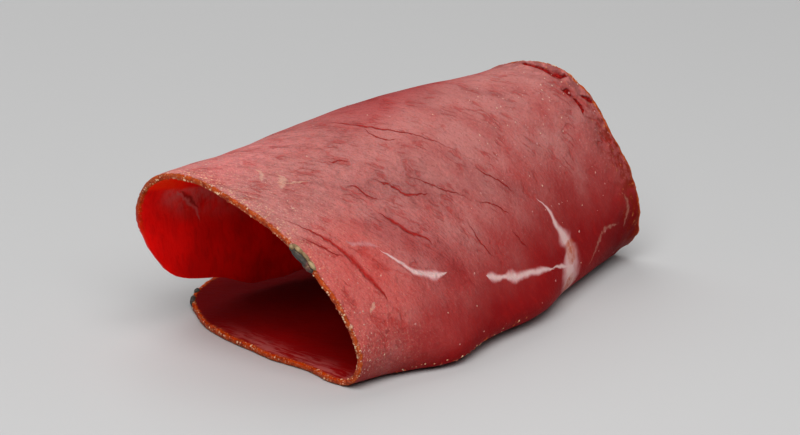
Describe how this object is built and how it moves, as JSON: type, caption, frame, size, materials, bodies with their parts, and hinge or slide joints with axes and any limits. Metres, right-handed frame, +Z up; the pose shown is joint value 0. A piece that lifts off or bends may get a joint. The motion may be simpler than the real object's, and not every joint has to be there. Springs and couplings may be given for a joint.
{
  "type": "folded slice of venison ham",
  "caption": "Thin oval slice of dried, smoked venison ham, folded over into an open roll that rests on its flat lower layer.",
  "frame": {"origin": "on the surface that the slice rests on, under the middle of its bounding box", "axes": "+Z up, +X across the fold towards its closed side, +Y along the roll towards its narrow end"},
  "size_m": [0.0676, 0.1016, 0.0393],
  "materials": {
    "meat": "dried lean meat: dusty pinkish red, satin, slightly see-through, with a thin orange-brown rind on its edge"
  },
  "bodies": {
    "root": {"venison_ham_slice": "meat"}
  },
  "joints": []
}
